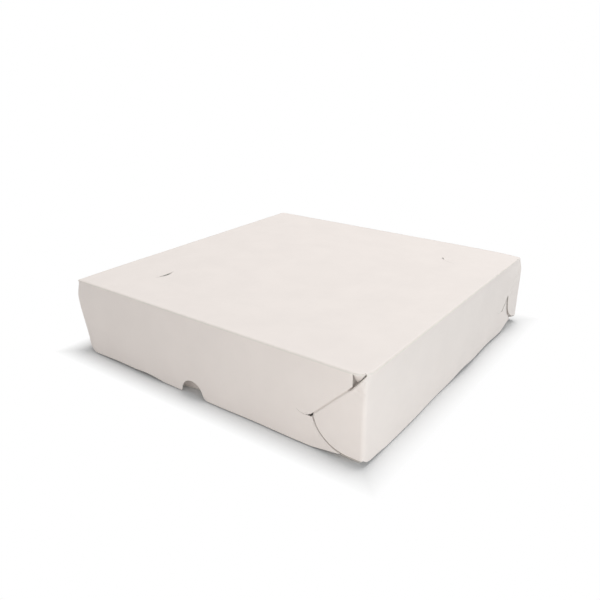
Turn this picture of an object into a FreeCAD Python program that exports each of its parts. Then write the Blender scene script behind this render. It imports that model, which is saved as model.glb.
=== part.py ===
"""A two-piece telescoping snack box folded from white paperboard.

The lid and the base tray are cut to the same pattern and folded by hand: a square panel with four
walls. Each wall carries a rounded ear at one end. The ear is bent round the corner and threaded
through a slanted slit in the next wall, so the corners lock without glue. The lid slides down over
the base until its panel lies on the rim of the base.

Frame: +Z up, the floor at Z = 0, the Z axis through the middle of the box. The wall with the thumb
notch faces -Y. Seen from outside, each lock is at the right-hand end of its wall on the lid, and at
the left-hand end on the base, which is the same tray turned over.
"""
import FreeCAD, Part
import math
import os
import Sketcher
from FreeCAD import Placement, Rotation, Vector

# ---------------------------------------------------------------- driving dimensions, in millimetres
SIZES = {
    "lid_side": 220.0,          # outside of the lid, along and across
    "total_height": 51.2,       # floor to the top of the closed box
    "board": 0.5,               # thickness of the paperboard
    "layer_gap": 0.15,          # air between two layers of board in a corner lock
    "telescope_gap": 1.5,       # air between the lid's innermost layer and the base, on each side
    "rim_lift": 0.8,            # free edge of the lid above the floor
    "crease_round": 1.0,        # outside radius of the fold between the panel and a wall
    "bend": 4.0,                # outside radius of the vertical bend between a wall and its ear
    "slit_width": 1.0,          # opening of the slit, across it
    "slit_spare": 1.0,          # length of the slit beyond the ear that passes through it
    "hook_length": 9.0,         # level end of the slit, beyond the slanted part
    "hook_radius": 7.2,         # curve of that end
    "ear_start": 1.6,           # top edge of the ear below the panel
    "ear_straight": 8.0,        # level part of the ear before its round end
    "ear_rise": 3.2,            # lower edge of the ear above the free edge of its wall
    "tongue_taper": 3.4,        # rise of the free edge behind the ear
    "rim_round": 10.0,          # length over which the free edge rises to the ear
    "notch_radius": 10.0,       # thumb notch in the lid
    "notch_offset": 6.5,        # notch from the middle of its wall, towards the left
    "vent_inset": 39.8,         # crown of a vent cut from the two nearest edges of the panel
    "vent_radius": 15.4,        # curve of a vent cut
    "vent_angle": 68.0,         # angle that a vent cut spans, in degrees
    "vent_kerf": 0.4,           # width of a vent cut
}
OVERRUN = 1.0                   # how far a cutting solid stands clear of the board
ROOT_2 = math.sqrt(2)
CORNERS = 4
ON_WALL = Rotation(Vector(1, 0, 0), 90)         # sketch on the -Y wall: x along it, y up
ACROSS_SLIT = Rotation(Vector(0, 1, 0), -135)   # sketch square to the slit: x across it, y inwards
ALONG_Y = Rotation(Vector(1, 0, 0), -90)        # a cylinder's axis turned to +Y
ALONG_X = Rotation(Vector(0, 1, 0), 90)         # a cylinder's axis turned to +X

doc = FreeCAD.newDocument("SnackBox")
sheet = doc.addObject("Spreadsheet::Sheet", "size")
for row, (alias, value) in enumerate(SIZES.items(), start=1):
    sheet.set(f"A{row}", alias)
    sheet.set(f"B{row}", str(value))
    sheet.setAlias(f"B{row}", alias)
doc.recompute()

# Sizes that both pieces share, worked out from the driving ones.
TWO_LAYERS = "(2 * size.board + size.layer_gap)"
LAYER_STEP = "(size.board + size.layer_gap)"
TONGUE_END = "(size.bend + size.layer_gap)"
SLIT_DROP = f"(size.slit_width * {ROOT_2})"
TONGUE_DROP = f"((size.slit_width + size.layer_gap) * {ROOT_2})"
HOOK_RISE = "sqrt(size.hook_radius ^ 2 - size.hook_length ^ 2 / 4)"


class Lock:
    """Where a corner lock's edges lie on a wall of a given depth, as expressions."""

    def __init__(self, name, side, depth):
        self.name, self.side, self.depth = name, side, depth
        self.ear_end = f"({depth} - size.ear_rise)"
        self.ear_radius = f"(({self.ear_end} - size.ear_start) / 2)"
        middle = f"(size.ear_start + {self.ear_radius})"
        # The ear's round end meets the slit, a line at 45 degrees, at this distance along the wall.
        crossing = (f"(size.ear_straight + {middle} + sqrt(2 * {self.ear_radius} ^ 2"
                    f" - ({middle} - size.ear_straight) ^ 2)) / 2")
        self.slit_reach = f"({crossing} + size.slit_spare)"
        self.hinge = f"({self.slit_reach} + size.hook_length)"
        self.sunk = f"(size.ear_straight + {self.ear_radius} + size.layer_gap)"


# ---------------------------------------------------------------- small helpers
def place(item, x="0", y="0", z="0", turn=Rotation()):
    """Turn an object and bind its position to three expressions."""
    item.Placement = Placement(Vector(), turn)
    for axis, expression in zip("xyz", (x, y, z)):
        item.setExpression(f"Placement.Base.{axis}", expression)
    return item


def bound(kind, name, **sizes):
    """A parametric object with its properties bound to expressions."""
    item = doc.addObject(kind, name)
    for prop, expression in sizes.items():
        item.setExpression(prop, expression)
    return item


def polygon(name, corners):
    """A closed sketch with straight sides, each corner held by its two distances from the origin."""
    sketch = doc.addObject("Sketcher::SketchObject", name)
    points = [Vector(*(float(sketch.evalExpression(e)) for e in corner)) for corner in corners]
    count = len(points)
    for i in range(count):
        sketch.addGeometry(Part.LineSegment(points[i], points[(i + 1) % count]))
    for i in range(count):
        sketch.addConstraint(Sketcher.Constraint("Coincident", i, 2, (i + 1) % count, 1))
    for i, corner in enumerate(corners):
        for kind, expression, value in zip(("DistanceX", "DistanceY"), corner, points[i]):
            if expression == "0":
                axis = -2 if kind == "DistanceX" else -1
                sketch.addConstraint(Sketcher.Constraint("PointOnObject", i, 1, axis))
            else:
                index = sketch.addConstraint(Sketcher.Constraint(kind, -1, 1, i, 1, value))
                sketch.setExpression(f"Constraints[{index}]", expression)
    return sketch


def extrude(name, profile, direction, length):
    solid = bound("Part::Extrusion", name, LengthFwd=length)
    solid.Base = profile
    solid.DirMode = "Custom"
    solid.Dir = direction
    solid.Solid = True
    return solid


def cut(name, base, tool):
    result = doc.addObject("Part::Cut", name)
    result.Base, result.Tool = base, tool
    return result


def common(name, *shapes):
    result = doc.addObject("Part::MultiCommon", name)
    result.Shapes = list(shapes)
    return result


def fuse(name, *shapes):
    result = doc.addObject("Part::MultiFuse", name)
    result.Shapes = list(shapes)
    return result


def at_each_corner(item):
    """The object and three links to it, a quarter turn apart."""
    copies = [item]
    for turn in range(1, CORNERS):
        link = doc.addObject("App::Link", f"{item.Name}_{turn}")
        link.LinkedObject = item
        link.Placement = Placement(Vector(), Rotation(Vector(0, 0, 1), turn * 360 / CORNERS))
        copies.append(link)
    return copies


# ---------------------------------------------------------------- the folded shell
def rounded_square(body, name, side, radius, level):
    """A square with round corners, drawn level at the given height."""
    sketch = body.newObject("Sketcher::SketchObject", name)
    plane = next(f for f in body.Origin.OriginFeatures if f.Role == "XY_Plane")
    sketch.AttachmentSupport = [(plane, "")]
    sketch.MapMode = "FlatFace"
    sketch.setExpression("AttachmentOffset.Base.z", level)
    bend = float(sketch.evalExpression(radius))
    centre = float(sketch.evalExpression(side)) / 2 - bend
    quarter = math.pi / 2
    for i, (sx, sy) in enumerate(((1, 1), (-1, 1), (-1, -1), (1, -1))):
        circle = Part.Circle(Vector(sx * centre, sy * centre), Vector(0, 0, 1), bend)
        sketch.addGeometry(Part.ArcOfCircle(circle, i * quarter, (i + 1) * quarter))
    for i in range(CORNERS):
        after = (i + 1) % CORNERS
        ends = sketch.getPoint(i, 2), sketch.getPoint(after, 1)
        sketch.addGeometry(Part.LineSegment(*ends))
        sketch.addConstraint(Sketcher.Constraint("Tangent", i, 2, CORNERS + i, 1))
        sketch.addConstraint(Sketcher.Constraint("Tangent", CORNERS + i, 2, after, 1))
    for i in range(1, CORNERS):
        sketch.addConstraint(Sketcher.Constraint("Equal", 0, i))
    held = (("Radius", (0, bend), radius),
            ("DistanceX", (-1, 1, 0, 3, centre), f"{side} / 2 - ({radius})"),
            ("DistanceY", (-1, 1, 0, 3, centre), f"{side} / 2 - ({radius})"),
            ("DistanceX", (-1, 1, 2, 3, -centre), f"({radius}) - {side} / 2"),
            ("DistanceY", (-1, 1, 2, 3, -centre), f"({radius}) - {side} / 2"))
    for kind, references, expression in held:
        index = sketch.addConstraint(Sketcher.Constraint(kind, *references))
        sketch.setExpression(f"Constraints[{index}]", expression)
    sketch.addConstraint(Sketcher.Constraint("Vertical", CORNERS + 1))
    sketch.addConstraint(Sketcher.Constraint("Horizontal", CORNERS))
    return sketch


def folded_shell(name, side, depth):
    """Panel and four walls, rounded at the creases and at the vertical bends."""
    body = doc.addObject("PartDesign::Body", f"{name}_shell")
    block = body.newObject("PartDesign::Pad", f"{name}_block")
    block.Profile = rounded_square(body, f"{name}_outside", side, "size.bend", "0")
    block.Reversed = True
    block.setExpression("Length", depth)
    doc.recompute()
    top = next(f"Face{i}" for i, face in enumerate(block.Shape.Faces, start=1)
               if face.CenterOfMass.z > -1e-6)
    creases = body.newObject("PartDesign::Fillet", f"{name}_creases")
    creases.Base = (block, [top])
    creases.setExpression("Radius", "size.crease_round")
    hollow = body.newObject("PartDesign::Pocket", f"{name}_hollow")
    hollow.Profile = rounded_square(body, f"{name}_inside", f"({side} - 2 * size.board)",
                                    "size.bend - size.board", "-size.board")
    hollow.setExpression("Length", f"{depth} - size.board")
    return body


# ---------------------------------------------------------------- one corner lock
def through_wall(lock, part, corners, reach):
    """A prism through the -Y wall; corners are (distance from the right end, distance down)."""
    name = f"{lock.name}_{part}"
    sketch = polygon(f"{name}_outline", [(f"-({along})", f"-({down})") for along, down in corners])
    place(sketch, f"{lock.side} / 2", f"-{lock.side} / 2 - {OVERRUN}", "0", ON_WALL)
    return extrude(name, sketch, Vector(0, 1, 0), reach)


def hook_disc(lock, part, radius):
    """The disc whose lower edge is the curved end of the slit."""
    disc = bound("Part::Cylinder", f"{lock.name}_{part}", Radius=radius,
                 Height=f"{TWO_LAYERS} + {2 * OVERRUN}")
    return place(disc, f"{lock.side} / 2 - {lock.slit_reach} - size.hook_length / 2",
                 f"-{lock.side} / 2 - {OVERRUN}", f"{HOOK_RISE} - {lock.slit_reach}", ALONG_Y)


def ear_prism(lock):
    """The outline of the ear, level sides and a round end, through every layer of the lock."""
    reach = f"{TWO_LAYERS} + {2 * OVERRUN}"
    left = f"{lock.side} / 2 - size.ear_straight"
    outside = f"-{lock.side} / 2 - {OVERRUN}"
    level = bound("Part::Box", f"{lock.name}_ear_level", Length=f"size.ear_straight + {OVERRUN}",
                  Width=reach, Height=f"2 * {lock.ear_radius}")
    place(level, left, outside, f"-{lock.ear_end}")
    end = bound("Part::Cylinder", f"{lock.name}_ear_end", Radius=lock.ear_radius, Height=reach)
    place(end, left, outside, f"-size.ear_start - {lock.ear_radius}", ALONG_Y)
    return fuse(f"{lock.name}_ear_outline", level, end)


def lock_opening(lock, ear):
    """What is cut out of the shell at a corner: the slit, and the wall round the ear."""
    layer = f"{OVERRUN} + {LAYER_STEP}"
    low = f"{lock.depth} + {OVERRUN}"
    window = through_wall(lock, "window", (
        (-OVERRUN, "size.board"), ("size.board", "size.board"), (lock.slit_reach, lock.slit_reach),
        (lock.hinge, lock.slit_reach), (lock.hinge, low), (-OVERRUN, low)), layer)
    reach = f"2 * {lock.ear_end}"
    below_slit = through_wall(lock, "below_slit", (
        (-OVERRUN, f"{SLIT_DROP} - {OVERRUN}"), (reach, f"{reach} + {SLIT_DROP}"),
        (-OVERRUN, f"{reach} + {SLIT_DROP}")), layer)
    hooked = cut(f"{lock.name}_hooked_window", window, hook_disc(lock, "hook", "size.hook_radius"))
    ear_face = common(f"{lock.name}_ear_face", ear, below_slit)
    return cut(f"{lock.name}_opening", hooked, ear_face)


def rim_relief(lock):
    """The corner of the free edge, which rises in an arc, across the bend, to meet the ear."""
    radius = "((size.rim_round ^ 2 + size.ear_rise ^ 2) / (2 * size.ear_rise))"
    across = f"size.bend + {OVERRUN}"
    inside = f"{lock.side} / 2 - size.bend"
    block = bound("Part::Box", f"{lock.name}_rim_block", Length=across,
                  Width=f"size.rim_round + {OVERRUN}", Height=f"size.ear_rise + {OVERRUN}")
    place(block, inside, f"-{lock.side} / 2 - {OVERRUN}", f"-{lock.depth} - {OVERRUN}")
    curve = bound("Part::Cylinder", f"{lock.name}_rim_curve", Radius=radius, Height=across)
    place(curve, inside, f"size.rim_round - {lock.side} / 2", f"{radius} - {lock.depth}", ALONG_X)
    return cut(f"{lock.name}_rim_relief", block, curve)


def tongue(lock):
    """The end of the wall, which sinks one layer inwards and lies behind the ear."""
    plan = polygon(f"{lock.name}_tongue_plan", (
        (f"-{lock.hinge}", "0"), (f"-{lock.sunk}", LAYER_STEP), (f"-{TONGUE_END}", LAYER_STEP),
        (f"-{TONGUE_END}", TWO_LAYERS), (f"-{lock.sunk}", TWO_LAYERS),
        (f"-{lock.hinge}", "size.board")))
    place(plan, f"{lock.side} / 2", f"-{lock.side} / 2")
    layers = extrude(f"{lock.name}_tongue_layers", plan, Vector(0, 0, -1), lock.depth)
    outline = through_wall(lock, "tongue_edge", (
        (TONGUE_END, f"{TONGUE_END} + {TONGUE_DROP}"),
        (lock.slit_reach, f"{lock.slit_reach} + {TONGUE_DROP}"),
        (lock.hinge, lock.slit_reach), (lock.hinge, lock.depth), (lock.sunk, lock.depth),
        (TONGUE_END, f"{lock.depth} - size.tongue_taper")), f"{TWO_LAYERS} + {2 * OVERRUN}")
    clear = hook_disc(lock, "hook_clear", "size.hook_radius + size.layer_gap")
    return cut(f"{lock.name}_tongue", common(f"{lock.name}_tongue_blank", layers, outline), clear)


def threaded_ear(lock, ear):
    """The part of the ear that dips through the slit and lies behind the wall."""
    reach = f"2 * {lock.ear_end}"
    section = polygon(f"{lock.name}_thread_section", (
        ("-size.slit_width", "0"), ("0", LAYER_STEP), (reach, LAYER_STEP),
        (reach, TWO_LAYERS), ("0", TWO_LAYERS), ("-size.slit_width", "size.board")))
    place(section, f"{lock.side} / 2", f"-{lock.side} / 2", "0", ACROSS_SLIT)
    thread = extrude(f"{lock.name}_thread", section, Vector(-1, 0, -1) / ROOT_2, reach)
    return common(f"{lock.name}_threaded_ear", thread, ear)


def check_corners(name, shell, walls, *cutters):
    """Stop if the panel isn't hollowed out, or if a corner's cuts took nothing away."""
    board = float(sheet.board)
    if shell.Shape.Volume > 2 * board * shell.Shape.Area:
        raise RuntimeError(f"{name}: the shell is not hollow")
    first, *others = (tool.Shape for tool in cutters)
    one_corner = shell.Shape.common(first.fuse(others)).Volume
    removed = shell.Shape.Volume - walls.Shape.Volume
    if abs(removed / one_corner - CORNERS) > 0.01:
        raise RuntimeError(f"{name}: {removed:.1f} mm3 cut away, {one_corner:.1f} at one corner")


# ---------------------------------------------------------------- a folded tray, panel up
def tray(name, side, depth):
    """A folded tray with its panel on top at Z = 0 and its walls hanging down."""
    lock = Lock(name, side, depth)
    ear = ear_prism(lock)
    openings = at_each_corner(lock_opening(lock, ear))
    reliefs = at_each_corner(rim_relief(lock))
    shell = folded_shell(name, side, depth)
    walls = cut(f"{name}_walls", shell, fuse(f"{name}_cuts", *openings, *reliefs))
    tongues = at_each_corner(tongue(lock))
    threads = at_each_corner(threaded_ear(lock, ear))
    folded = fuse(f"{name}_tray", walls, *tongues, *threads)
    doc.recompute()
    check_corners(name, shell, walls, openings[0], reliefs[0])
    return folded


# ---------------------------------------------------------------- lid and base
def vent_cut(name, sign, facing):
    """A crescent cut through the panel, its crown on the diagonal, curving towards an angle."""
    height = f"size.board + {2 * OVERRUN}"
    bands = []
    for part, offset in (("wide", "+"), ("core", "-")):
        band = bound("Part::Cylinder", f"{name}_{part}", Height=height, Angle="size.vent_angle",
                     Radius=f"size.vent_radius {offset} size.vent_kerf / 2")
        crown = f"({sign} * (size.lid_side / 2 - size.vent_inset))"
        place(band, f"{crown} - size.vent_radius * cos({facing} deg)",
              f"{crown} - size.vent_radius * sin({facing} deg)", f"-size.board - {OVERRUN}")
        band.setExpression("Placement.Rotation.Angle", f"{facing} deg - size.vent_angle * 1 deg / 2")
        bands.append(band)
    return cut(name, *bands)


LID_DEPTH = "(size.total_height - size.rim_lift)"
BASE_DEPTH = "(size.total_height - size.board)"
BASE_SIDE = f"(size.lid_side - 2 * ({TWO_LAYERS} + size.telescope_gap))"

lid_tray = tray("lid", "size.lid_side", LID_DEPTH)
notch = bound("Part::Cylinder", "thumb_notch", Radius="size.notch_radius",
              Height=f"size.board + {2 * OVERRUN}")
place(notch, "-size.notch_offset", f"-size.lid_side / 2 - {OVERRUN}", f"-{LID_DEPTH}", ALONG_Y)
lid = cut("lid_piece", lid_tray, fuse("lid_cut_outs", notch, vent_cut("left_vent", -1, 0),
                                      vent_cut("right_vent", 1, -90)))
lid.Label = "lid"
place(lid, z="size.total_height")

base = tray("base", BASE_SIDE, BASE_DEPTH)
base.Label = "base"
place(base, turn=Rotation(Vector(1, 0, 0), 180))

# ---------------------------------------------------------------- check and export
doc.recompute()
for item in doc.Objects:
    if {"Invalid", "Error"} & set(item.State):
        raise RuntimeError(f"{item.Name} failed: {item.State}")
os.makedirs("parts", exist_ok=True)
for piece in (lid, base):
    if piece.Shape.isNull() or not piece.Shape.isValid() or len(piece.Shape.Solids) != 1:
        raise RuntimeError(f"{piece.Label} is not one valid solid")
    piece.Shape.exportStep(f"parts/{piece.Label}.step")
    print(piece.Label, len(piece.Shape.Faces), "faces", round(piece.Shape.Volume, 1), "mm3",
          piece.Shape.BoundBox)
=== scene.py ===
"""Looks of the snack box: a lid and a base tray, each folded from one sheet of white board.

Each tray is drawn as its flat blank, a panel and four wall strips with their ears, slits and free
edges, and then folded: every point of the blank is carried to its place on the finished tray.
Lengths are in millimetres until the meshes are written.
"""
import math
from dataclasses import dataclass

import bpy
import numpy as np
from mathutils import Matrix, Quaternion, Vector
from mathutils.geometry import delaunay_2d_cdt


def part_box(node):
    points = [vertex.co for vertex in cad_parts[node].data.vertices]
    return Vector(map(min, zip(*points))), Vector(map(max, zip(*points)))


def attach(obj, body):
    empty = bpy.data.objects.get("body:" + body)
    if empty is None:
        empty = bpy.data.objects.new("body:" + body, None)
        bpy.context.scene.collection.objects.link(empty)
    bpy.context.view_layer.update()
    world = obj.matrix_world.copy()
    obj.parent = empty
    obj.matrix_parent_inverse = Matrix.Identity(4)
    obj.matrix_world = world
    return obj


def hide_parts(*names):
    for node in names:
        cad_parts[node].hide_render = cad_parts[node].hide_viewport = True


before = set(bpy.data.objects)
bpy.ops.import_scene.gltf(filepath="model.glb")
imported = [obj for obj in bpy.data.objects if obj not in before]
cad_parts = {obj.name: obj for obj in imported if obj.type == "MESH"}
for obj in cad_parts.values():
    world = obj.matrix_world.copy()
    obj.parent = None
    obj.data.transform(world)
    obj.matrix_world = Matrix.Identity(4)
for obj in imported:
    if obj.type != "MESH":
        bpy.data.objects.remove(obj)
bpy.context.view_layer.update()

MM = 0.001
WALLS = 4                   # 0 faces -Y, 1 faces +X, 2 faces +Y, 3 faces -X
FRONT = 0
CORNERS = ((1, -1), (1, 1), (-1, 1), (-1, -1))      # at the right-hand end of each wall
ROOT_2 = math.sqrt(2)

# ---------------------------------------------------------------- sizes of the trays and the locks
LID_HALF = 108.6            # half the side of the lid's panel
LID_BELOW = 0.35            # room above the lid's panel for the flaps of the vents
BASE_HALF = 105.4           # half the side of the base's panel
BASE_BELOW = 1.3            # room above the base's rim for the sag of the lid's panel
BOARD = 0.5                 # thickness of the board
LAYER_GAP = 0.15            # air between two layers in a lock
CREASE = 1.2                # outside radius of the fold between the panel and a wall
SLIT_WIDTH = 1.0
SLIT_SPARE = 1.0            # slit beyond the ear that passes through it
SLIT_LIP = 0.2              # how far below the slit's middle an ear is still fully behind
SLIT_CREST = 1.1            # distance over which it then comes up out of the slit
SLIT_ROOT = 1.6             # distance from the corner over which it starts to go in
GAPE_CLOSING = 6.0          # length over which a gaping slit closes
HOOK_LENGTH = 9.0           # level end of the slit
HOOK_RADIUS = 7.2
HOOK_APART = 0.04           # angle that keeps the two edges of the hook's end apart
EAR_START = 1.6             # top edge of the ear below the panel
EAR_STRAIGHT = 8.0
EAR_RISE = 3.2              # lower edge of the ear above the free edge
EAR_PROUD_ACROSS = 9.0      # distance from the slit over which the ear comes to stand proud
EAR_PROUD_ALONG = 22.0      # the same from the corner
TONGUE_BACK = 1.6           # how far the tongue's end stays back from the corner's bend
TONGUE_TAPER = 3.4
TONGUE_FOOT = 11.0          # length next to the corner where the tongue is sunk down to the rim
TONGUE_FADE = 4.0           # length over which it then comes up
GROOVE_SIDE = 0.5           # width of the slope from the groove round an ear up to the wall's face
RIM_ROUND = 10.0
NOTCH_RADIUS = 9.0
NOTCH_OFFSET = 7.0          # thumb notch, to the left of the middle of its wall
NOTCH_FEET = (4.0, 0.8)     # rounding of its right and left foot
VENT_RADIUS = 15.2
VENT_ANGLE = math.radians(68)       # how much of a circle the cut is
VENT_KERF = 0.9             # width of the cut where it gapes
VENT_SHUT = 0.1             # share of that width left elsewhere
VENT_FALL = 5.0             # distance over which its raised flap falls off

# ---------------------------------------------------------------- the marks that hands left
TIP_LENGTH = 7.4            # from the corner to the tear across the front wall's tip
TIP_TEAR = 0.3              # width of the tear
TIP_LIP = 0.5               # height of the lip that the panel's edge makes over the tip
SAG_REACH = 14.0            # how far into the panel the sag of a corner reaches
SAG_FADE = 0.9              # share of the depth over which the walls take up the sag
BULGE_FROM = 0.45           # share of the way from a wall's middle to its end where a bulge starts
BOW_POWER = 1.5             # how sharply a wall's bow falls off towards its ends
LEAN_POWER = 1.2            # how a wall's lean grows on the way down
LIFT_FROM = 0.6             # share of the depth below which a wall goes up with its free edge
HOLLOW = 0.62               # depth of the panel's shallow hollow
LONG_RIPPLE = 0.36          # height of the long ripples in the hollow
SHORT_RIPPLE = 0.22         # height of the short ones
COCKLE_DEPTH = 4e-5         # unevenness of the board, in metres

# ---------------------------------------------------------------- fineness of the meshes
COARSE = 2.4                # spacing of points along the middle of a wall
FINE = 1.2                  # the same near the locks
BEND_STEP = 0.8             # the same round the vertical bends
ROW = 1.3                   # spacing of points down a wall
CREASE_STEPS = 4            # rows of points on each side of the fold at the panel's edge
CREASE_END = CREASE * 1.01  # just below the last of them
PANEL_STEP = 3.6
TIP_STEP = 0.6              # spacing along the outline, round the torn tip
HOOK_STEP = 0.8             # the same round the hook
SLIT_STEP = 1.0             # the same along the slit and round the ear
NOTCH_STEP = 0.5            # the same round the notch
EDGE_MARGIN = 0.35          # least distance from a point of the grid to an outline
CREASE_MARGIN = 0.12        # the same at the crease
PANEL_MARGIN = 0.5          # the same on the panel
HOLE_MARGIN = 0.45          # the same to a hole
SLIT_ZONE = 44.0            # length of wall at its right end that holds the lock
BEND_ZONE = 12.0            # length of wall at its left end that is bent
# Rows of points on an ear that follow its slit: their distances below the slit's middle, where
# along it they start, their spacing along it, and the room kept on each side of them.
SLIT_ROWS = (-1.2, -0.5, 0.2, 0.45, 0.7, 0.95, 1.3, 1.9, 2.6)
SLIT_ROWS_START = 1.0
SLIT_ROWS_STEP = 0.9
SLIT_ROWS_ROOM = 0.4
# Rows of points on a wall that follow the groove round the ear: their distances outside the
# groove's floor, the angles where they start and that part them, and the room kept for them.
GROOVE_ROWS = (-1.6, -0.8, -0.3, 0.0, 0.12, 0.25, 0.38, 0.5, 1.0)
GROOVE_ROWS_START = 0.1
GROOVE_ROWS_TURN = math.radians(2.2)
GROOVE_ROWS_ROOM = 1.7
# Points round a vent: how far they reach on each side of the cut, their spacing across it, the
# angle between them along it, and how many lie on each side of the cut itself.
VENT_REACH = 9.0
VENT_STEP = 0.9
VENT_TURN = 0.05
VENT_POINTS = 41
WELD_DECIMALS = 4           # points that agree to this many decimals are one point
SHARP_EDGE = math.radians(50)


# ---------------------------------------------------------------- curves
def smooth(share):
    """0 to 1 along an S-shaped curve."""
    share = np.clip(share, 0.0, 1.0)
    return share * share * (3.0 - 2.0 * share)


def rounded(distance, radius, other=None):
    """Rounds a right-angled edge. For a point at a distance from the sharp edge, on its face:
    its distance from the edge once the edge is rounded, and how far it sinks into the face.
    The rounding reaches a radius along this face, and another along the face beyond."""
    other = radius if other is None else other
    turn = np.clip(1.0 - distance / radius, 0.0, 1.0) * math.pi / 4
    along = np.where(distance < radius, radius * (1.0 - np.sin(turn)), distance)
    return along, other * (1.0 - np.cos(turn))


def line(start, end, step):
    """Points from start up to end, without end, at most step apart."""
    start, end = np.array(start, float), np.array(end, float)
    count = max(1, math.ceil(np.linalg.norm(end - start) / step))
    return [tuple(start + (end - start) * i / count) for i in range(count)]


def arc(centre, radius, start, end, step):
    """Points on an arc from one angle up to another, without the last. Angle 0 lies along the
    first axis, and a quarter turn along the second."""
    count = max(2, math.ceil(abs(end - start) * radius / step))
    angles = [start + (end - start) * i / count for i in range(count)]
    return [(centre[0] + radius * math.cos(a), centre[1] + radius * math.sin(a)) for a in angles]


def spans(*stops):
    """Even points between stops, given as position, step, position, step, position."""
    points = [np.array([stops[0]])]
    for start, step, end in zip(stops[:-2:2], stops[1::2], stops[2::2]):
        points.append(np.linspace(start, end, max(1, math.ceil((end - start) / step)) + 1)[1:])
    return np.concatenate(points)


def bump(position, centre, half_width):
    """A raised cosine: 1 at the centre, 0 beyond the half width."""
    share = np.clip(np.abs(position - centre) / half_width, 0.0, 1.0)
    return 0.5 + 0.5 * np.cos(math.pi * share)


# ---------------------------------------------------------------- the form that hands gave each tray
@dataclass
class Corner:
    """The corner at a wall's right-hand end, seen from outside, with the lock on that wall."""
    bend: float = CREASE        # radius of the vertical bend under the panel
    bend_rim: float = 4.0       # the same at the rim
    bend_from: float = 0.0      # how far down the radius starts to grow
    skew: float = 1.0           # by how much the bend reaches further along the next wall
    bulge: float = 0.0          # how far the wall stands out here, soon below the panel
    bulge_level: float = 12.0   # where that is reached
    bulge_fade: float = 400.0   # how far below that it is gone again
    gape: float = 0.3           # how far the slit opens near the corner
    gape_from: float = 0.0      # how far from the corner it starts to close
    proud: float = 0.2          # how far the round end of the ear stands off
    sink: float = 1.2           # how far the tongue lies behind the wall's face
    groove: float = 0.8         # width of the groove round the ear, where the wall dips under it
    drawn: float = 0.0          # how far the ear's round end is drawn towards the corner
    sag: float = 0.0            # how far the panel's corner hangs down


@dataclass
class Lift:
    """A stretch of a wall's free edge that is raised."""
    along: float                # where its middle lies
    half_width: float
    height: float


@dataclass
class Fold:
    """A faint straight crease that pushes a wall's face in."""
    start: tuple                # (along, down)
    end: tuple
    half_width: float
    push: float


@dataclass
class Knock:
    """A spot of a tray that was moved as a whole."""
    place: tuple
    radius: float
    shift: tuple


@dataclass
class Wall:
    """How a wall stands and what its free edge does. Lengths along a wall run from its middle
    to the right, seen from outside."""
    lean: tuple = (0.5, 1.0, 0.5)       # how far it stands out at the rim: left end, middle, right
    wave: tuple = (0.3, 80.0, 0.0)      # height, length and phase of ripples along the rim
    lifts: tuple = ()
    folds: tuple = ()


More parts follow.
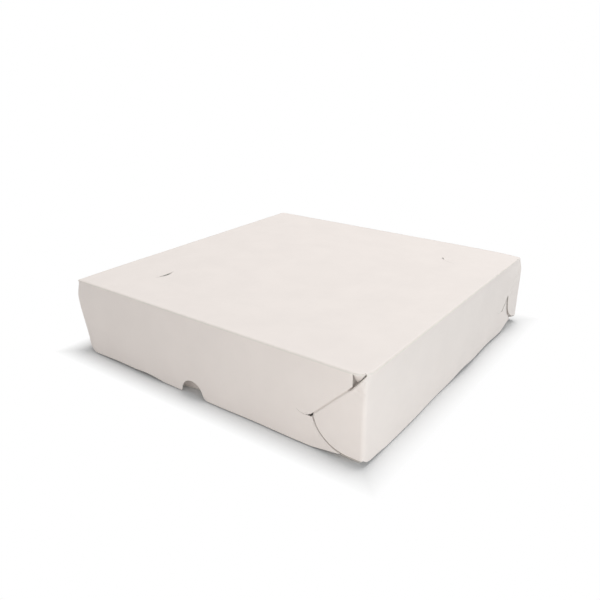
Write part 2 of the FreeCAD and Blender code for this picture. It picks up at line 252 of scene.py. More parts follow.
class Tray:
    """A tray with its panel up at z = 0 and its walls hanging down to -depth.

    half        half the side of the panel
    corners     one Corner for each wall's right-hand end
    walls       one Wall for each wall
    tip_lean    slope at which the torn tip of the front wall leans in, 0 where it is whole
    knocks      spots of the tray that were moved as a whole
    notch_wall  the wall with the thumb notch
    vents       the crescent cuts in the panel
    """

    def __init__(self, half, depth, corners, walls, tip_lean=0.0, knocks=(), notch_wall=None,
                 vents=()):
        self.half, self.depth, self.corners, self.walls = half, depth, corners, walls
        self.tip_lean, self.knocks = tip_lean, knocks
        self.notch_wall, self.vents = notch_wall, vents
        self.ear_end = depth - EAR_RISE
        self.ear_radius = (self.ear_end - EAR_START) / 2
        middle = EAR_START + self.ear_radius
        crossing = (EAR_STRAIGHT + middle
                    + math.sqrt(2 * self.ear_radius ** 2 - (middle - EAR_STRAIGHT) ** 2)) / 2
        self.slit_reach = crossing + SLIT_SPARE
        self.hinge = self.slit_reach + HOOK_LENGTH
        self.ear_length = EAR_STRAIGHT + self.ear_radius
        self.sunk = self.ear_length + LAYER_GAP
        rise = math.sqrt(HOOK_RADIUS ** 2 - HOOK_LENGTH ** 2 / 4)
        self.hook = (self.slit_reach + HOOK_LENGTH / 2, self.slit_reach - rise)
        self.tongue_drop = (SLIT_WIDTH + LAYER_GAP) * ROOT_2
        self.tongue_end = max(corner.bend_rim for corner in corners) / 2 + TONGUE_BACK
        self.columns = spans(-half + CREASE, BEND_STEP, -half + BEND_ZONE, COARSE,
                             half - SLIT_ZONE, FINE, half - BEND_ZONE, BEND_STEP, half - CREASE)

    def at(self, name, corner):
        """A value of the corners with the given numbers."""
        return np.array([getattr(item, name) for item in self.corners])[corner]

    # -- form
    def bend_radius(self, corner, down):
        top, low, start = (self.at(name, corner) for name in ("bend", "bend_rim", "bend_from"))
        return top + (low - top) * smooth((down - start) / (self.depth - start))

    def stand_out(self, wall, along, down):
        """How far a wall's face stands outside the panel's edge."""
        share = np.clip(along / self.half, -1.0, 1.0)
        left, middle, right = np.array([item.lean for item in self.walls])[wall].T
        height, length, phase = np.array([item.wave for item in self.walls])[wall].T
        bow = (1.0 - share ** 2) ** BOW_POWER
        ends = left + (right - left) * smooth((share + 1.0) / 2)
        ripple = height * np.sin(2 * math.pi * along / length + phase)
        rim = ends + (middle - ends) * bow + ripple * bow
        bulge = 0.0
        for corner, towards in ((wall, share), ((wall - 1) % WALLS, -share)):
            amount, level, fade = (self.at(name, corner)
                                   for name in ("bulge", "bulge_level", "bulge_fade"))
            bulge += (amount * smooth((towards - BULGE_FROM) / (1 - BULGE_FROM))
                      * smooth(down / level) * (1 - smooth((down - level) / fade)))
        return rim * np.clip(down / self.depth, 0.0, 1.0) ** LEAN_POWER + bulge

    def raised(self, wall, along):
        """How far the free edge is raised."""
        total = np.zeros_like(along)
        for number, item in enumerate(self.walls):
            for lift in item.lifts:
                total += (wall == number) * lift.height * bump(along, lift.along, lift.half_width)
        return total

    def pressed(self, wall, along, down):
        """How far faint creases push the face in."""
        total = np.zeros_like(along)
        for number, item in enumerate(self.walls):
            for fold in item.folds:
                start, end = np.array(fold.start), np.array(fold.end)
                way = end - start
                point = np.stack([along, down], -1) - start
                share = np.clip(point @ way / (way @ way), 0.0, 1.0)
                apart = np.linalg.norm(point - share[:, None] * way, axis=1)
                ends = np.sqrt(np.abs(np.sin(math.pi * share)))
                total += ((wall == number) * fold.push * ends
                          * np.exp(-(apart / fold.half_width) ** 2))
        return total

    # -- the blank
    def strip_outline(self, wall):
        """The outline of one wall with its share of the panel's edge and its ear: (along, down)."""
        half, depth, reach, hinge = self.half, self.depth, self.slit_reach, self.hinge
        end, radius, middle = self.ear_end, self.ear_radius, EAR_START + self.ear_radius
        fine = CREASE / CREASE_STEPS
        points = [(x, -CREASE) for x in self.columns]
        points += line((half - CREASE, -CREASE), (half, 0.0), fine * ROOT_2)[1:]
        slit_start = (half, 0.0)
        if wall == FRONT and self.tip_lean:
            right, left = TIP_LENGTH - TIP_TEAR / 2, TIP_LENGTH + TIP_TEAR / 2
            points += line(slit_start, (half - right, right), TIP_STEP)
            points += line((half - right, right), (half - right, TIP_LIP), TIP_STEP)
            points += line((half - left, TIP_LIP), (half - left, left), TIP_STEP)
            slit_start = (half - left, left)
        points += line(slit_start, (half - reach, reach), SLIT_STEP)
        # Round the hook: the lower edge of the wall, then back along the upper edge of the tongue.
        centre = (half - self.hook[0], self.hook[1])
        tip = math.asin((reach - self.hook[1]) / HOOK_RADIUS)
        points += arc(centre, HOOK_RADIUS, tip, math.pi - tip, HOOK_STEP)
        points.append((half - hinge, reach))
        wide = HOOK_RADIUS + LAYER_GAP
        clear = math.asin((reach - self.hook[1]) / wide)
        points += arc(centre, wide, math.pi - clear - HOOK_APART, math.pi / 2, HOOK_STEP)
        # Along the tongue: its slit edge, its end at the corner and its taper to the free edge.
        root = (half - reach, reach + self.tongue_drop)
        upper = (half - self.tongue_end, self.tongue_end + self.tongue_drop)
        lower = (half - self.tongue_end, depth - TONGUE_TAPER)
        points += line((centre[0], centre[1] + wide), root, HOOK_STEP)
        points += line(root, upper, FINE)
        points += line(upper, lower, ROW)
        points += line(lower, (half - self.sunk, depth), FINE)
        points += self.free_edge(wall)
        # Round the ear at the wall's left end.
        points += line((-half, end), (-half - EAR_STRAIGHT, end), BEND_STEP)
        points += arc((-half - EAR_STRAIGHT, middle), radius, math.pi / 2, math.pi * 1.5, SLIT_STEP)
        points += line((-half - EAR_STRAIGHT, EAR_START), (-half, EAR_START), BEND_STEP)
        points += line((-half, EAR_START), (-half, 0.0), fine)
        points += line((-half, 0.0), (-half + CREASE, -CREASE), fine * ROOT_2)
        return np.array(points)

    def free_edge(self, wall):
        """The free edge of a wall from its tongue to the bend, with the notch where it has one."""
        half, depth = self.half, self.depth
        start = (half - self.sunk, depth)
        points = []
        if wall == self.notch_wall:
            spread, turn = zip(*(notch_foot(rounding) for rounding in NOTCH_FEET))
            right, left = spread[0] - NOTCH_OFFSET, -spread[1] - NOTCH_OFFSET
            points += line(start, (right, depth), COARSE)
            points += arc((right, depth - NOTCH_FEET[0]), NOTCH_FEET[0], math.pi / 2,
                          math.pi - turn[0], NOTCH_STEP)
            points += arc((-NOTCH_OFFSET, depth), NOTCH_RADIUS, -turn[0], -math.pi + turn[1],
                          NOTCH_STEP)
            points += arc((left, depth - NOTCH_FEET[1]), NOTCH_FEET[1], turn[1], math.pi / 2,
                          NOTCH_STEP)
            start = (left, depth)
        points += line(start, (-half + RIM_ROUND, depth), COARSE)
        radius = (RIM_ROUND ** 2 + EAR_RISE ** 2) / (2 * EAR_RISE)
        points += arc((-half + RIM_ROUND, depth - radius), radius, math.pi / 2,
                      math.pi / 2 + math.asin(RIM_ROUND / radius), BEND_STEP)
        return points

    def strip(self, wall):
        """The flat mesh of one wall's strip."""
        half = self.half
        columns = np.concatenate([
            spans(-half - self.ear_length, FINE, -half - BEND_ZONE, BEND_STEP, -half + CREASE)[:-1],
            self.columns, spans(half - CREASE, FINE, half)[1:]])
        rows = spans(-CREASE, CREASE / CREASE_STEPS, CREASE, ROW, self.depth)
        grid = np.array([(x, y) for x in columns for y in rows])
        # On the ear, the points near the slit lie in rows along it.
        across = (grid[:, 1] + half + grid[:, 0]) / ROOT_2
        near_slit = ((grid[:, 0] < -half) & (across > SLIT_ROWS[0] - SLIT_ROWS_ROOM)
                     & (across < SLIT_ROWS[-1] + SLIT_ROWS_ROOM))
        lengths = spans(SLIT_ROWS_START, SLIT_ROWS_STEP, self.slit_reach * ROOT_2)
        rows_along = np.array([(-half - (length - row) / ROOT_2, (length + row) / ROOT_2)
                               for length in lengths for row in SLIT_ROWS])
        # On the wall behind the next wall's ear, they lie in rows round the ear's end.
        apart = half - grid[:, 0]
        width = self.at("groove", wall)
        past = np.abs(self.past_ear(wall, apart, grid[:, 1]) - width)
        near_groove = (grid[:, 0] > 0) & (grid[:, 1] > apart) & (past < GROOVE_ROWS_ROOM)
        radii = self.ear_radius + width + np.array(GROOVE_ROWS)
        turns = spans(GROOVE_ROWS_START, GROOVE_ROWS_TURN, math.pi / 2)
        middle, drawn = EAR_START + self.ear_radius, self.drawn_by(wall)
        rows_round = np.array([(half - drawn * (EAR_STRAIGHT + radius * math.cos(turn)),
                                middle + radius * math.sin(turn))
                               for turn in turns for radius in radii])
        grid = grid[~near_slit & ~near_groove]
        grid = np.concatenate([grid, rows_along, rows_round])
        margin = np.where(grid[:, 1] < CREASE_END, CREASE_MARGIN, EDGE_MARGIN)
        return triangulate(self.strip_outline(wall), grid, margin)

    def panel(self):
        """The flat mesh of the panel inside its creased edges."""
        inner = self.half - CREASE
        side = [(x, -inner) for x in self.columns[:-1]]
        outline = np.array([turned(p, wall) for wall in range(WALLS) for p in side])
        holes = [vent.outline() for vent in self.vents]
        steps = spans(-inner, PANEL_STEP, inner)
        grid = np.array([(x, y) for x in steps for y in steps])
        for vent in self.vents:
            grid = vent.refined(grid)
        return triangulate(outline, grid, PANEL_MARGIN, holes)

    # -- folding
    def fold_panel(self, points):
        height = panel_ripple(points, self.half)
        for vent in self.vents:
            height += vent.lift(points)
        return self.settled(np.column_stack([points, height]))

    def fold_strip(self, wall, points):
        """Carries the points of a strip, (along, down), to the finished tray."""
        along, down = points.T
        half = self.half
        ear = along < -half
        # An ear lies on the face of the wall before its own.
        face = np.where(ear, (wall - 1) % WALLS, wall)
        along = np.where(ear, half + (along + half) * self.drawn_by(face), along)
        right = along > 0
        corner = np.where(right, face, (face - 1) % WALLS)
        apart = half - np.abs(along)
        below = np.maximum(down, 0.0)
        level = self.layer(face, ear, half - along, below)
        level += self.tip(wall, ear, half - along, below)
        # The bend at the corner, and the fold at the panel's edge.
        skew = np.where(right, 1 / self.at("skew", corner), self.at("skew", corner))
        radius = self.bend_radius(corner, below)
        bend, bend_in = rounded(apart, radius * skew, radius / skew)
        _, corner_drop = rounded(apart, CREASE)
        clear = smooth(below / (2 * CREASE))
        along = np.where(right, half - bend, bend - half)
        crease, crease_in = rounded(np.abs(down), CREASE)
        on_panel = down < 0
        # Each end of the wall stands out with the wall round its corner.
        out = self.stand_out(face, along, below) - self.pressed(face, along, below)
        share = (along + half) / (2 * half)
        ahead = self.stand_out((face + 1) % WALLS, np.full_like(along, -half), below)
        behind = self.stand_out((face - 1) % WALLS, np.full_like(along, half), below)
        x = along + share * ahead - (1 - share) * behind
        y = np.where(on_panel, crease, crease_in + bend_in * clear + level - out) - half
        low = smooth((below - LIFT_FROM * self.depth) / ((1 - LIFT_FROM) * self.depth))
        z = np.where(on_panel, -crease_in, -crease) - corner_drop * (1 - clear)
        z += self.raised(face, along) * low
        z += panel_ripple(np.column_stack([x, y]), half) * on_panel
        # So far as a wall that faces -Y. Turned to where it stands:
        turn = face * math.pi / 2
        return self.settled(np.column_stack([x * np.cos(turn) - y * np.sin(turn),
                                             x * np.sin(turn) + y * np.cos(turn), z]))

    def settled(self, points):
        """The sag of the panel's corners, and the knocks that spots of the tray have had."""
        x, y, z = points.T
        fade = 1 - smooth(-z / (SAG_FADE * self.depth))
        drop = np.zeros(len(points))
        for (sx, sy), corner in zip(CORNERS, self.corners):
            gap = np.hypot(self.half - sx * x, self.half - sy * y)
            drop += corner.sag * np.exp(-gap / SAG_REACH)
        moved = np.column_stack([x, y, z - drop * fade])
        for knock in self.knocks:
            squared = ((points - np.array(knock.place)) ** 2).sum(axis=1)
            moved += np.exp(-squared / knock.radius ** 2)[:, None] * np.array(knock.shift)
        return moved

    def layer(self, face, ear, apart, down):
        """How far a point of the blank lies behind the face of its wall. apart is its distance
        from the wall's right end."""
        across = (down - apart) / ROOT_2
        along = (down + apart) / ROOT_2
        gape, start, proud, sink, width = (self.at(name, face) for name in
                                           ("gape", "gape_from", "proud", "sink", "groove"))
        behind = BOARD + LAYER_GAP + gape * (1 - smooth((along - start) / GAPE_CLOSING))
        dip = (behind * (1 - smooth((across - SLIT_LIP) / SLIT_CREST))
               * smooth(apart / SLIT_ROOT))
        # The ear stands off the tongue behind it, most along its round end.
        rise = proud * smooth(across / EAR_PROUD_ACROSS) * smooth(apart / EAR_PROUD_ALONG)
        beyond = np.hypot(apart - self.hook[0], down - self.hook[1]) > HOOK_RADIUS + LAYER_GAP / 2
        below = np.where(apart < self.slit_reach, across > SLIT_WIDTH / 2,
                         (down > self.slit_reach) & beyond)
        # The tongue is sunk under the ear and in the groove round it, and near the corner
        # down to the rim.
        groove = 1 - smooth((self.past_ear(face, apart, down) - width) / GROOVE_SIDE)
        foot = 1 - smooth((apart / self.drawn_by(face) - TONGUE_FOOT) / TONGUE_FADE)
        tongue = sink * np.maximum(groove, foot) * below
        return np.where(ear, dip - rise, tongue)

    def drawn_by(self, corner):
        """The share of an ear's length that still shows where it has been drawn in."""
        return 1 - self.at("drawn", corner) / self.ear_length

    def past_ear(self, corner, apart, down):
        """How far outside the ear's round end a point of the wall behind it lies."""
        across = np.maximum(apart / self.drawn_by(corner) - EAR_STRAIGHT, 0.0)
        return np.hypot(across, down - EAR_START - self.ear_radius) - self.ear_radius

    def tip(self, wall, ear, apart, down):
        """The tip of the front wall, between the corner and the slit, has torn a little and
        leans in under the panel's edge."""
        above_slit = (down - apart) / ROOT_2 < SLIT_WIDTH / 2
        mine = ~ear & (wall == FRONT) & above_slit & (apart < TIP_LENGTH)
        return mine * self.tip_lean * np.clip(down - TIP_LIP, 0.0, None)


def notch_foot(rounding):
    """Where the rounding of a foot of the notch starts, from the notch's middle, and the angle
    at which it meets the notch's circle."""
    spread = math.sqrt(NOTCH_RADIUS ** 2 + 2 * NOTCH_RADIUS * rounding)
    return spread, math.atan(rounding / spread)


class Vent:
    """A crescent cut in the panel. Its crown lies at a point, and it curves towards an angle.
    It gapes round one angle, over an opening of some angle to each side."""

    def __init__(self, crown, facing, raise_by, open_at, opening):
        self.facing, self.raise_by, self.open_at, self.opening = facing, raise_by, open_at, opening
        self.centre = (crown[0] - VENT_RADIUS * math.cos(facing),
                       crown[1] - VENT_RADIUS * math.sin(facing))

    def outline(self):
        """The cut, nearly closed apart from where it gapes, and closed at its ends."""
        half = VENT_ANGLE / 2
        turns = np.linspace(-half, half, VENT_POINTS)
        gape = VENT_SHUT + (1 - VENT_SHUT) * bump(turns, self.open_at, self.opening)
        widths = VENT_KERF / 2 * gape * np.sin(math.pi * np.linspace(0.0, 1.0, len(turns)))
        outer = list(zip(VENT_RADIUS + widths, turns + self.facing))
        inner = list(zip(VENT_RADIUS - widths, turns + self.facing))[-2:0:-1]
        return np.array([(self.centre[0] + r * math.cos(a), self.centre[1] + r * math.sin(a))
                         for r, a in outer + inner])

    def polar(self, points):
        """The distance of points from the cut's centre and their angle from its crown."""
        offset = points - np.array(self.centre)
        turn = np.arctan2(offset[:, 1], offset[:, 0]) - self.facing
        turn = (turn + math.pi) % (2 * math.pi) - math.pi
        return np.hypot(*offset.T), turn

    def refined(self, grid):
        """The grid with finer points round the cut."""
        distance, turn = self.polar(grid)
        near = (np.abs(distance - VENT_RADIUS) < VENT_REACH) & (np.abs(turn) < VENT_ANGLE)
        radii = spans(VENT_RADIUS - VENT_REACH, VENT_STEP, VENT_RADIUS + VENT_REACH)
        angles = spans(-VENT_ANGLE, VENT_TURN, VENT_ANGLE) + self.facing
        added = np.array([(self.centre[0] + r * math.cos(a), self.centre[1] + r * math.sin(a))
                          for r in radii for a in angles])
        return np.concatenate([grid[~near], added])

    def lift(self, points):
        """The flap inside the cut stands up a little where the cut gapes."""
        distance, turn = self.polar(points)
        inside = distance < VENT_RADIUS - 1e-3
        fall = np.exp(-np.clip(VENT_RADIUS - distance, 0.0, None) / VENT_FALL)
        return self.raise_by * inside * fall * bump(turn, self.open_at, self.opening)


def panel_ripple(points, half):
    """The panel isn't quite flat: a shallow hollow with ripples that dies out at its edges."""
    x, y = (points / half).T
    edge = np.clip((1 - x ** 2) * (1 - y ** 2), 0.0, None)
    return -edge * (HOLLOW + LONG_RIPPLE * np.sin(2.1 * x + 0.6) * np.cos(1.7 * y - 0.4)
                    - SHORT_RIPPLE * np.sin(4.3 * y + 1.1) * np.cos(3.1 * x))


# ---------------------------------------------------------------- flat meshes
def turned(point, quarters):
    """A point turned by quarter turns."""
    x, y = point
    for _ in range(quarters):
        x, y = -y, x
    return x, y


def inside(points, outline):
    """Which points lie in a closed outline."""
    result = np.zeros(len(points), bool)
    px, py = points.T
    for (x0, y0), (x1, y1) in zip(outline, np.roll(outline, -1, axis=0)):
        if y0 != y1:
            crosses = (y0 > py) != (y1 > py)
            result ^= crosses & (px < (x1 - x0) * (py - y0) / (y1 - y0) + x0)
    return result


def clearance(points, outline):
    """The distance from each point to the nearest side of an outline."""
    nearest = np.full(len(points), np.inf)
    for start, end in zip(outline, np.roll(outline, -1, axis=0)):
        way = end - start
        share = np.clip((points - start) @ way / max(way @ way, 1e-12), 0.0, 1.0)
        nearest = np.minimum(nearest, np.linalg.norm(points - start - share[:, None] * way, axis=1))
    return nearest


def triangulate(outline, grid, margin, holes=()):
    """Triangles between an outline, its holes and the grid points that lie clear of them."""
    rings = [outline, *holes]
    keep = inside(grid, outline) & (clearance(grid, outline) > margin)
    for hole in holes:
        keep &= ~inside(grid, hole) & (clearance(grid, hole) > HOLE_MARGIN)
    points = np.concatenate([*rings, grid[keep]])
    edges, first = [], 0
    for ring in rings:
        count = len(ring)
        edges += [(first + i, first + (i + 1) % count) for i in range(count)]
        first += count
    # Triangles out to the convex hull. Those outside the outline or in a hole go.
    found, _, faces, *_ = delaunay_2d_cdt([Vector(p) for p in points], edges, [], 0, 1e-6)
    found, faces = np.array(found), np.array(faces)
    middle = found[faces].mean(axis=1)
    within = inside(middle, outline)
    for hole in holes:
        within &= ~inside(middle, hole)
    return found, faces[within]


# ---------------------------------------------------------------- folded boards
def folded_sheet(tray):
    """The outer face of a folded tray: its points, its triangles, and how worn each point is,
    from 1 on the crease at the panel's edge down to 0."""
    flat, faces = tray.panel()
    sheets = [(tray.fold_panel(flat), faces, np.zeros(len(flat)))]
    for wall in range(WALLS):
        flat, faces = tray.strip(wall)
        sheets.append((tray.fold_strip(wall, flat), faces, np.exp(-(flat[:, 1] / CREASE) ** 2)))
    triangles, first = [], 0
    for corners, faces, _ in sheets:
        triangles.append(faces + first)
        first += len(corners)
    corners = np.concatenate([sheet[0] for sheet in sheets])
    points, index = np.unique(np.round(corners, WELD_DECIMALS), axis=0, return_inverse=True)
    index = index.ravel()
    worn = np.zeros(len(points))
    np.maximum.at(worn, index, np.concatenate([sheet[2] for sheet in sheets]))
    return points, facing_out(points, index[np.concatenate(triangles)]), worn


def board_piece(name, tray, placed, materials):
    """The folded sheet with its thickness. placed carries the tray's points to their place in
    the frame, and the materials are those of the outside, the inside and the cut edge."""
    outer, faces, worn = folded_sheet(tray)
    inner = outer - vertex_normals(outer, faces) * BOARD
    count = len(outer)
    rim = rim_faces(faces, count)
    points = placed(np.concatenate([outer, inner])) * MM
    polygons = faces.tolist() + (faces[:, ::-1] + count).tolist() + rim
    mesh = bpy.data.meshes.new(name)
    mesh.from_pydata(points.tolist(), [], polygons)
    kinds = [0] * len(faces) + [1] * len(faces) + [2] * len(rim)
    mesh.polygons.foreach_set("material_index", kinds)
    mesh.polygons.foreach_set("use_smooth", [True] * len(polygons))
    attribute = mesh.attributes.new("crease", "FLOAT", "POINT")
    attribute.data.foreach_set("value", np.concatenate([worn, worn]).astype(np.float32))
    for material in materials:
        mesh.materials.append(material)
    mesh.update()
    mesh.set_sharp_from_angle(angle=SHARP_EDGE)
    piece = bpy.data.objects.new(name, mesh)
    bpy.context.scene.collection.objects.link(piece)
    return piece


def face_normals(points, faces):
    return np.cross(points[faces[:, 1]] - points[faces[:, 0]],
                    points[faces[:, 2]] - points[faces[:, 0]])


def facing_out(points, faces):
    """Triangles of a folded tray all turned outwards: the panel's up, and a wall's away from the
    middle of the tray."""
    normal = face_normals(points, faces)
    middle = points[faces].mean(axis=1)
    outwards = middle * np.array([1.0, 1.0, 0.0])
    outwards[middle[:, 2] > -CREASE] = (0.0, 0.0, 1.0)
    along_x = np.abs(normal[:, 0]) > np.abs(normal[:, 1])
    side = np.where(along_x, normal[:, 0] * outwards[:, 0], normal[:, 1] * outwards[:, 1])
    level = np.abs(normal[:, 2]) > np.linalg.norm(normal[:, :2], axis=1)
    flip = np.where(level, normal[:, 2], side) < 0
    faces = faces.copy()
    faces[flip] = faces[flip][:, ::-1]
    return faces


def vertex_normals(points, faces):
    normal = face_normals(points, faces)
    total = np.zeros_like(points)
    for i in range(3):
        np.add.at(total, faces[:, i], normal)
    return total / np.linalg.norm(total, axis=1)[:, None]


def rim_faces(faces, count):
    """Quads between the outer and the inner face along every open edge."""
    edges = np.concatenate([faces[:, [0, 1]], faces[:, [1, 2]], faces[:, [2, 0]]])
    both = np.sort(edges, axis=1)
    _, first, uses = np.unique(both, axis=0, return_index=True, return_counts=True)
    return [(b, a, a + count, b + count) for a, b in edges[first[uses == 1]]]


# ---------------------------------------------------------------- materials
# Each noise as its scale, which is about the number of its features in a metre, and its detail.
CLOUDS = (38.0, 3.0)
FIBRES = (900.0, 4.0)
FIBRE_STRETCH = (1.0, 0.3, 0.3)
CRACKS = (420.0, 4.0)
DULLNESS = (160.0, 3.0)
COCKLES = (55.0, 2.0)
PLIES = (2600.0, 3.0)
CUT_FIBRES = (1800.0, 3.0)
CUT_DEPTH = 2e-5            # unevenness of the cut edge, in metres


def node(tree, kind, **values):
    """A new node with the given properties and input values."""
    made = tree.nodes.new(kind)
    for key, value in values.items():
        name = key.replace("_", " ")
        if name in made.inputs:
            made.inputs[name].default_value = value
        else:
            setattr(made, key, value)
    return made


def noise(tree, scale, detail, stretch=(1.0, 1.0, 1.0)):
    """Noise in the piece's own space."""
    place = tree.nodes.new("ShaderNodeTexCoord")
    mapping = node(tree, "ShaderNodeMapping", Scale=stretch)
    made = node(tree, "ShaderNodeTexNoise", Scale=scale, Detail=detail, Roughness=0.6)
    tree.links.new(place.outputs["Object"], mapping.inputs["Vector"])
    tree.links.new(mapping.outputs["Vector"], made.inputs["Vector"])
    return made.outputs["Fac"]


def ranged(tree, value, source, target=(0.0, 1.0)):
    """A value carried from one range to another, and kept inside it."""
    made = node(tree, "ShaderNodeMapRange", From_Min=source[0], From_Max=source[1],
                To_Min=target[0], To_Max=target[1])
    tree.links.new(value, made.inputs["Value"])
    return made.outputs["Result"]


def blended(tree, factor, first, second):
    """Two colours mixed by a factor. Each is a colour or another node's output."""
    made = node(tree, "ShaderNodeMix", data_type="RGBA")
    tree.links.new(factor, made.inputs["Factor"])
    for name, colour in (("A", first), ("B", second)):
        socket = next(s for s in made.inputs if s.name == name and s.type == "RGBA")
        if isinstance(colour, tuple):
            socket.default_value = (*colour, 1.0)
        else:
            tree.links.new(colour, socket)
    return next(s for s in made.outputs if s.type == "RGBA")


def shaded(colour, share):
    return tuple(channel * share for channel in colour)


def bumped(tree, height, depth):
    """A bump node over a height, with its depth in metres."""
    made = node(tree, "ShaderNodeBump", Strength=1.0, Distance=depth)
    tree.links.new(height, made.inputs["Height"])
    return made


def board_material(name, colour, roughness, flecks, fibre_depth):
    """Folding board: cloudy at the scale of a finger, with fine fibres along the sheet, small
    flecks, and folds where the coating has cracked and shows lighter."""
    material = bpy.data.materials.new(name)
    material.use_nodes = True
    tree = material.node_tree
    shader = tree.nodes["Principled BSDF"]
    clouds = ranged(tree, noise(tree, *CLOUDS), (0.35, 0.65))
    base = blended(tree, clouds, shaded(colour, 0.985), shaded(colour, 1.012))
    fibres = noise(tree, *FIBRES, FIBRE_STRETCH)
    specks = ranged(tree, fibres, (0.62, 0.78), (0.0, flecks))
    base = blended(tree, specks, base, shaded(colour, 0.86))
    crease = node(tree, "ShaderNodeAttribute", attribute_name="crease")
    crack = node(tree, "ShaderNodeMath", operation="MULTIPLY")
    tree.links.new(crease.outputs["Fac"], crack.inputs[0])
    tree.links.new(ranged(tree, noise(tree, *CRACKS), (0.4, 0.62), (0.15, 0.75)), crack.inputs[1])
    base = blended(tree, crack.outputs[0], base, shaded(colour, 1.06))
    tree.links.new(base, shader.inputs["Base Color"])
    dull = ranged(tree, noise(tree, *DULLNESS), (0.3, 0.7), (roughness - 0.06, roughness + 0.06))
    tree.links.new(dull, shader.inputs["Roughness"])
    cockles = bumped(tree, noise(tree, *COCKLES), COCKLE_DEPTH)
    fine = bumped(tree, fibres, fibre_depth)
    tree.links.new(cockles.outputs["Normal"], fine.inputs["Normal"])
    tree.links.new(fine.outputs["Normal"], shader.inputs["Normal"])
    return material


def edge_material(name, colour):
    """The cut edge, where the plies of the board show as thin streaks."""
    material = bpy.data.materials.new(name)
    material.use_nodes = True
    tree = material.node_tree
    shader = tree.nodes["Principled BSDF"]
    shader.inputs["Roughness"].default_value = 0.85
    streaks = ranged(tree, noise(tree, *PLIES), (0.35, 0.65))
    tree.links.new(blended(tree, streaks, shaded(colour, 0.9), shaded(colour, 1.08)),
                   shader.inputs["Base Color"])
    rough = bumped(tree, noise(tree, *CUT_FIBRES), CUT_DEPTH)
    tree.links.new(rough.outputs["Normal"], shader.inputs["Normal"])
    return material


# ---------------------------------------------------------------- the two trays
lid_low, lid_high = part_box("lid")
lid = Tray(
    half=LID_HALF, depth=(lid_high.z - lid_low.z) / MM - LID_BELOW, notch_wall=FRONT, tip_lean=0.6,
    # As the camera sees them: the near corner, the right-hand one, the far one, the left-hand one.
    corners=(
        Corner(bend=2.0, bend_rim=2.6, gape=4.4, gape_from=9.5, proud=0.5, sink=2.1, groove=0.95),
        Corner(bend_rim=1.6, bulge=1.25, bulge_level=10.0, gape=1.7, proud=0.1, sink=2.4,
               drawn=8.5, groove=2.4, sag=1.0),
        Corner(bend_rim=4.5),
        Corner(bend_rim=8.0, bend_from=6.0, skew=1.7, bulge=1.15, bulge_fade=40.0, sag=0.3)),
    walls=(
        Wall(lean=(0.4, 1.0, 0.2), wave=(0.25, 60.0, 0.5),
             lifts=(Lift(-45.0, 17.0, 1.1), Lift(-66.0, 40.0, 0.9)),
             folds=(Fold((106.2, 5.2), (108.0, 4.2), 0.5, 0.55),
                    Fold((102.6, 8.6), (108.4, 10.4), 0.7, 0.75),
                    Fold((99.6, 11.0), (107.6, 13.4), 0.9, 0.35))),
        Wall(lean=(0.6, 0.6, 0.05), wave=(0.45, 85.0, 0.3),
             lifts=(Lift(-99.0, 15.0, 1.0), Lift(10.0, 22.0, 1.5), Lift(50.0, 80.0, 1.2),
                    Lift(94.0, 20.0, 3.0)),
             folds=(Fold((-8.0, 40.6), (22.0, 39.6), 0.8, 0.15),
                    Fold((-102.0, 41.0), (-90.0, 41.5), 0.8, 0.2))),
        Wall(lean=(0.1, 1.0, 0.6), wave=(0.3, 90.0, 0.0)),
        Wall(lean=(0.8, 1.0, 0.6), wave=(0.3, 75.0, 1.0))),
    # The tip of the near corner is pushed in.
    knocks=(Knock((LID_HALF, -LID_HALF, 0.0), 5.0, (-1.4, 2.0, 0.0)),),
    vents=(Vent(crown=(-68.3, -68.3), facing=0.0, raise_by=0.5, open_at=-0.02, opening=0.62),
           Vent(crown=(68.5, 68.0), facing=math.radians(-123), raise_by=0.5, open_at=-0.3,
                opening=0.16)))
# The base is turned over, so that its wall 2 stands behind the lid's notch.
base_low, base_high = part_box("base")
base = Tray(
    half=BASE_HALF, depth=(base_high.z - base_low.z) / MM - BASE_BELOW,
    corners=(Corner(), Corner(bend_rim=4.5), Corner(), Corner(bend_rim=5.0)),
    walls=(Wall(lean=(0.9, 1.2, 0.9), wave=(0.2, 70.0, 0.2)),
           Wall(lean=(0.9, 1.1, 0.9), wave=(0.2, 80.0, 0.9)),
           Wall(lean=(0.9, 0.0, 0.9), wave=(0.2, 90.0, 1.7)),
           Wall(lean=(0.9, 1.1, 0.9), wave=(0.2, 60.0, 0.4))),
    # Dented at the foot of the wall behind the notch, and at the rim behind the lid's near
    # corner, where the lid's tongue and ear are pressed in.
    knocks=(Knock((-7.0, 105.4, 0.0), 14.0, (0.0, -3.2, 0.0)),
            Knock((102.0, 106.0, -48.0), 15.0, (-1.5, -5.4, 0.0))))

lid_outside = board_material("board_outside", (0.84, 0.775, 0.735), 0.6, 0.25, 1.2e-5)
# The base's outside is a darker tone than the lid's board. This is painted shade, so that the base
# seen through the lid's thumb notch looks dim.
base_outside_painted_shade = board_material("base_outside_painted_shade", (0.75, 0.685, 0.64), 0.66, 0.4, 1.6e-5)
inside_face = board_material("board_inside", (0.78, 0.74, 0.69), 0.72, 0.7, 2.5e-5)
cut_edge = edge_material("board_edge", (0.72, 0.68, 0.63))
lid_top = lid_high.z / MM - LID_BELOW
lid_piece = board_piece("lid_board", lid, lambda p: p + np.array([0, 0, lid_top]),
                        (lid_outside, inside_face, cut_edge))
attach(lid_piece, "lid")
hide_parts("lid")
base_piece = board_piece("base_board", base, lambda p: p * np.array([1, -1, -1]),
                         (base_outside_painted_shade, inside_face, cut_edge))
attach(base_piece, "base")
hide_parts("base")


# ---------------------------------------------------------------- floor, light and camera
FLOOR_REACH = 8.0           # metres, like all that follows
FLOOR_FADE = (0.1105, 0.1245)   # distances along X or Y where its fade to white starts and ends
FLOOR_LIT = (0.78, 0.77, 0.76, 1.0)     # the floor as it lights the object
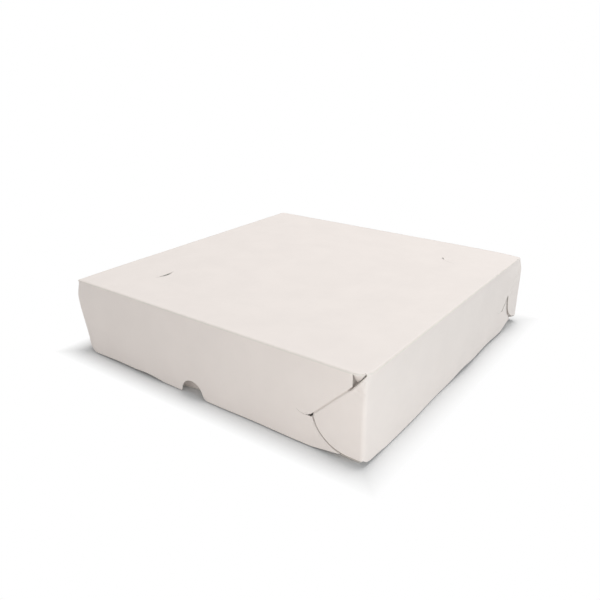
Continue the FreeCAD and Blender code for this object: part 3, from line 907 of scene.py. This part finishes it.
# Greyer than the white beyond: painted shade round the object, on top of its real shadow.
FLOOR_SEEN_PAINTED_SHADE = (0.8, 0.8, 0.8, 1.0)       # the floor as it is seen next to the object
FLOOR_GLOW = 0.02
WHITE = (1.0, 1.0, 1.0, 1.0)


def seen_directly(tree):
    """1 for camera, glossy and transmission rays."""
    path = tree.nodes.new("ShaderNodeLightPath")
    first = node(tree, "ShaderNodeMath", operation="MAXIMUM")
    second = node(tree, "ShaderNodeMath", operation="MAXIMUM")
    tree.links.new(path.outputs["Is Camera Ray"], first.inputs[0])
    tree.links.new(path.outputs["Is Glossy Ray"], first.inputs[1])
    tree.links.new(first.outputs[0], second.inputs[0])
    tree.links.new(path.outputs["Is Transmission Ray"], second.inputs[1])
    return second.outputs[0]


def mixed(tree, factor, first, second):
    """Two shaders mixed by a factor."""
    made = tree.nodes.new("ShaderNodeMixShader")
    tree.links.new(factor, made.inputs[0])
    tree.links.new(first.outputs[0], made.inputs[1])
    tree.links.new(second.outputs[0], made.inputs[2])
    return made


def make_floor():
    """A pale floor. Seen directly it is greyer next to the object, painted shade that deepens the
    object's contact shadow, and it fades to plain white away from the object.
    """
    mesh = bpy.data.meshes.new("floor")
    ends = [(x * FLOOR_REACH, y * FLOOR_REACH, 0.0) for x, y in CORNERS]
    mesh.from_pydata(ends, [], [(0, 1, 2, 3)])
    floor = bpy.data.objects.new("floor", mesh)
    bpy.context.scene.collection.objects.link(floor)
    material = bpy.data.materials.new("floor")
    material.use_nodes = True
    tree = material.node_tree
    tree.nodes.clear()
    output = tree.nodes.new("ShaderNodeOutputMaterial")
    lit = node(tree, "ShaderNodeBsdfDiffuse", Color=FLOOR_LIT)
    seen = node(tree, "ShaderNodeBsdfDiffuse", Color=FLOOR_SEEN_PAINTED_SHADE)
    glow = node(tree, "ShaderNodeEmission", Color=WHITE, Strength=FLOOR_GLOW)
    white = node(tree, "ShaderNodeEmission", Color=WHITE, Strength=1.0)
    place = tree.nodes.new("ShaderNodeNewGeometry")
    apart = tree.nodes.new("ShaderNodeSeparateXYZ")
    tree.links.new(place.outputs["Position"], apart.inputs[0])
    furthest = node(tree, "ShaderNodeMath", operation="MAXIMUM")
    for i, axis in enumerate("XY"):
        distance = node(tree, "ShaderNodeMath", operation="ABSOLUTE")
        tree.links.new(apart.outputs[axis], distance.inputs[0])
        tree.links.new(distance.outputs[0], furthest.inputs[i])
    near = tree.nodes.new("ShaderNodeAddShader")
    tree.links.new(seen.outputs[0], near.inputs[0])
    tree.links.new(glow.outputs[0], near.inputs[1])
    # Next to the object the floor seen is grey, painted shade round it; further out it is plain
    # white.
    shown = mixed(tree, ranged(tree, furthest.outputs[0], FLOOR_FADE), near, white)
    mix = mixed(tree, seen_directly(tree), lit, shown)
    tree.links.new(mix.outputs[0], output.inputs[0])
    mesh.materials.append(material)


def make_world(level):
    """Even light all round, at a level. Seen directly it is plain white."""
    world = bpy.data.worlds.new("studio")
    bpy.context.scene.world = world
    world.use_nodes = True
    tree = world.node_tree
    tree.nodes.clear()
    output = tree.nodes.new("ShaderNodeOutputWorld")
    light = node(tree, "ShaderNodeBackground", Color=WHITE, Strength=level)
    shown = node(tree, "ShaderNodeBackground", Color=WHITE, Strength=1.0)
    mix = mixed(tree, seen_directly(tree), light, shown)
    tree.links.new(mix.outputs[0], output.inputs[0])


def area_light(name, place, aim, size, power, colour):
    light = bpy.data.lights.new(name, "AREA")
    light.shape, light.size, light.energy, light.color = "DISK", size, power, colour
    lamp = bpy.data.objects.new(name, light)
    lamp.location = place
    lamp.rotation_euler = (Vector(aim) - Vector(place)).to_track_quat("-Z", "Y").to_euler()
    bpy.context.scene.collection.objects.link(lamp)


def make_camera(azimuth, elevation, roll, distance, target, lens):
    """A camera that looks at a target from an azimuth and an elevation, in degrees."""
    camera = bpy.data.objects.new("camera", bpy.data.cameras.new("camera"))
    a, e = math.radians(azimuth), math.radians(elevation)
    back = Vector((math.sin(a) * math.cos(e), -math.cos(a) * math.cos(e), math.sin(e)))
    camera.location = Vector(target) + back * distance
    camera.rotation_mode = "QUATERNION"
    facing = (-back).to_track_quat("-Z", "Y")
    camera.rotation_quaternion = facing @ Quaternion((0, 0, 1), math.radians(roll))
    camera.data.sensor_width = 36.0
    camera.data.lens = lens
    camera.data.clip_start, camera.data.clip_end = 0.01, 50.0
    bpy.context.scene.collection.objects.link(camera)
    bpy.context.scene.camera = camera


make_floor()
make_world(0.6)
area_light("overhead", place=(0.10, 0.28, 1.1), aim=(0, 0, 0.03), size=0.7, power=4.9,
           colour=(1.0, 0.99, 0.98))
area_light("side", place=(0.95, -0.25, 0.40), aim=(0.02, -0.05, 0.02), size=0.35, power=1.4,
           colour=(0.72, 0.9, 1.0))
area_light("near", place=(0.26, -0.34, 0.04), aim=(0.11, -0.11, 0.01), size=0.1, power=0.2,
           colour=(1.0, 0.98, 0.95))
make_camera(azimuth=36.47, elevation=22.36, roll=-0.17, distance=0.4379,
            target=(-0.0129, 0.0049, 0.0217), lens=36.45)
bpy.context.scene.view_settings.view_transform = "Standard"
